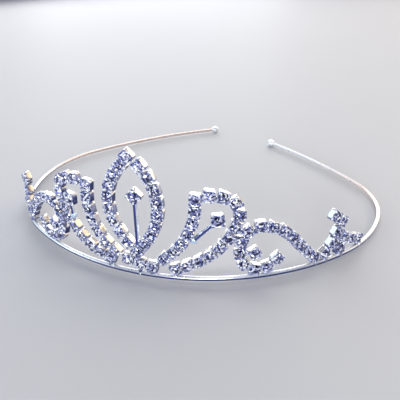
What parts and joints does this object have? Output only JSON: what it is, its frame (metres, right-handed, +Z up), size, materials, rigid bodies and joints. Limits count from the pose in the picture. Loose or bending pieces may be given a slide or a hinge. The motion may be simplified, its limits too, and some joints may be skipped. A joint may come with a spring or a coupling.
{
  "type": "tiara",
  "caption": "Tiara of claw-set round stones: a pointed centre leaf between two petals, two scrolls and two end sprays, soldered to an open sprung wire headband with ball ends",
  "frame": {"origin": "under the middle of the whole tiara, on the surface that it lies on", "axes": "+Z up, front towards -Y, +X to the right as seen from the front"},
  "size_m": [0.1236, 0.1084, 0.0381],
  "materials": {
    "metal": "polished rhodium plate",
    "ball": "polished rhodium plate",
    "stone": "clear foiled crystal"
  },
  "bodies": {
    "root": {"tiara_frame": "metal", "left_ball_tip": "ball", "right_ball_tip": "ball", "leaf_stones": "stone", "leaf_heart_stone": "stone", "left_petal_stones": "stone", "left_petal_heart_stone": "stone", "right_petal_stones": "stone", "right_petal_heart_stone": "stone", "left_scroll_stones": "stone", "left_scroll_eye_stone": "stone", "right_scroll_stones": "stone", "right_scroll_eye_stone": "stone", "left_spray_stones": "stone", "right_spray_stones": "stone"}
  },
  "joints": []
}
